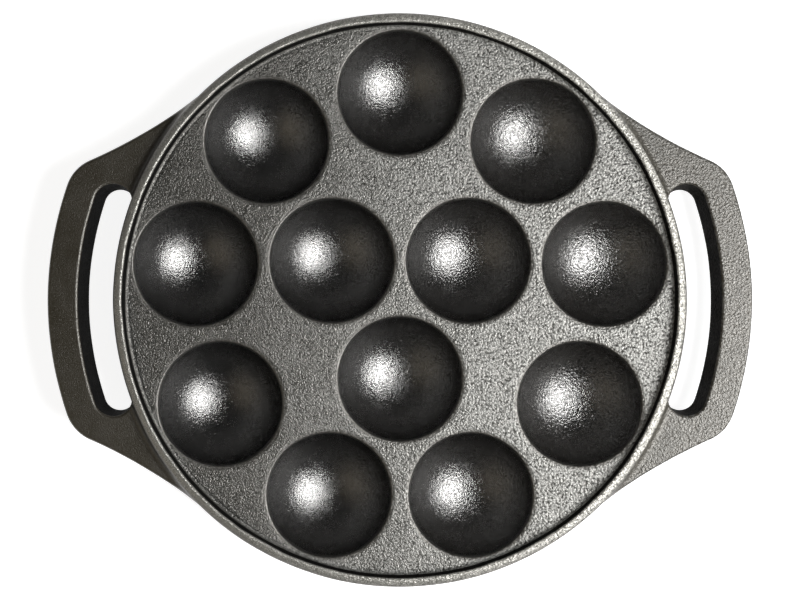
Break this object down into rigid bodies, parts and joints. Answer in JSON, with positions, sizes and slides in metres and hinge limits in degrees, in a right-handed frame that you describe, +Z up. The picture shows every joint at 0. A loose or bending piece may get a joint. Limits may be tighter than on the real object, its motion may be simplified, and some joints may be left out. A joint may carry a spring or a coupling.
{
  "type": "paniyaram pan",
  "caption": "Round cast-iron paniyaram pan with bowl-shaped wells in a flat deck, a raised rim lip and a flat loop handle at each end.",
  "frame": {"origin": "middle of the pan on the table, under the flats of its wells", "axes": "+X through the right handle, +Y to the rear, +Z up out of the wells"},
  "size_m": [0.2822, 0.2284, 0.0305],
  "materials": {
    "deck_iron": "pre-seasoned, coarse sand-cast grain, satin",
    "well_iron": "pre-seasoned, fine grain, polished to a dark gloss",
    "rim_iron": "pre-seasoned, ground smooth along the crest",
    "handle_iron": "pre-seasoned, fine sand-cast grain, satin"
  },
  "bodies": {
    "root": {"deck_plate": "deck_iron", "rim_lip": "rim_iron", "rim_skirt": "rim_iron", "well_bowl_01": "well_iron", "well_bowl_02": "well_iron", "well_bowl_03": "well_iron", "well_bowl_04": "well_iron", "well_bowl_05": "well_iron", "well_bowl_06": "well_iron", "well_bowl_07": "well_iron", "well_bowl_08": "well_iron", "well_bowl_09": "well_iron", "well_bowl_10": "well_iron", "well_bowl_11": "well_iron", "well_bowl_12": "well_iron", "handle_left_grip": "handle_iron", "handle_left_shoulder_rear": "handle_iron", "handle_left_shoulder_front": "handle_iron", "handle_right_grip": "handle_iron", "handle_right_shoulder_rear": "handle_iron", "handle_right_shoulder_front": "handle_iron"}
  },
  "joints": []
}
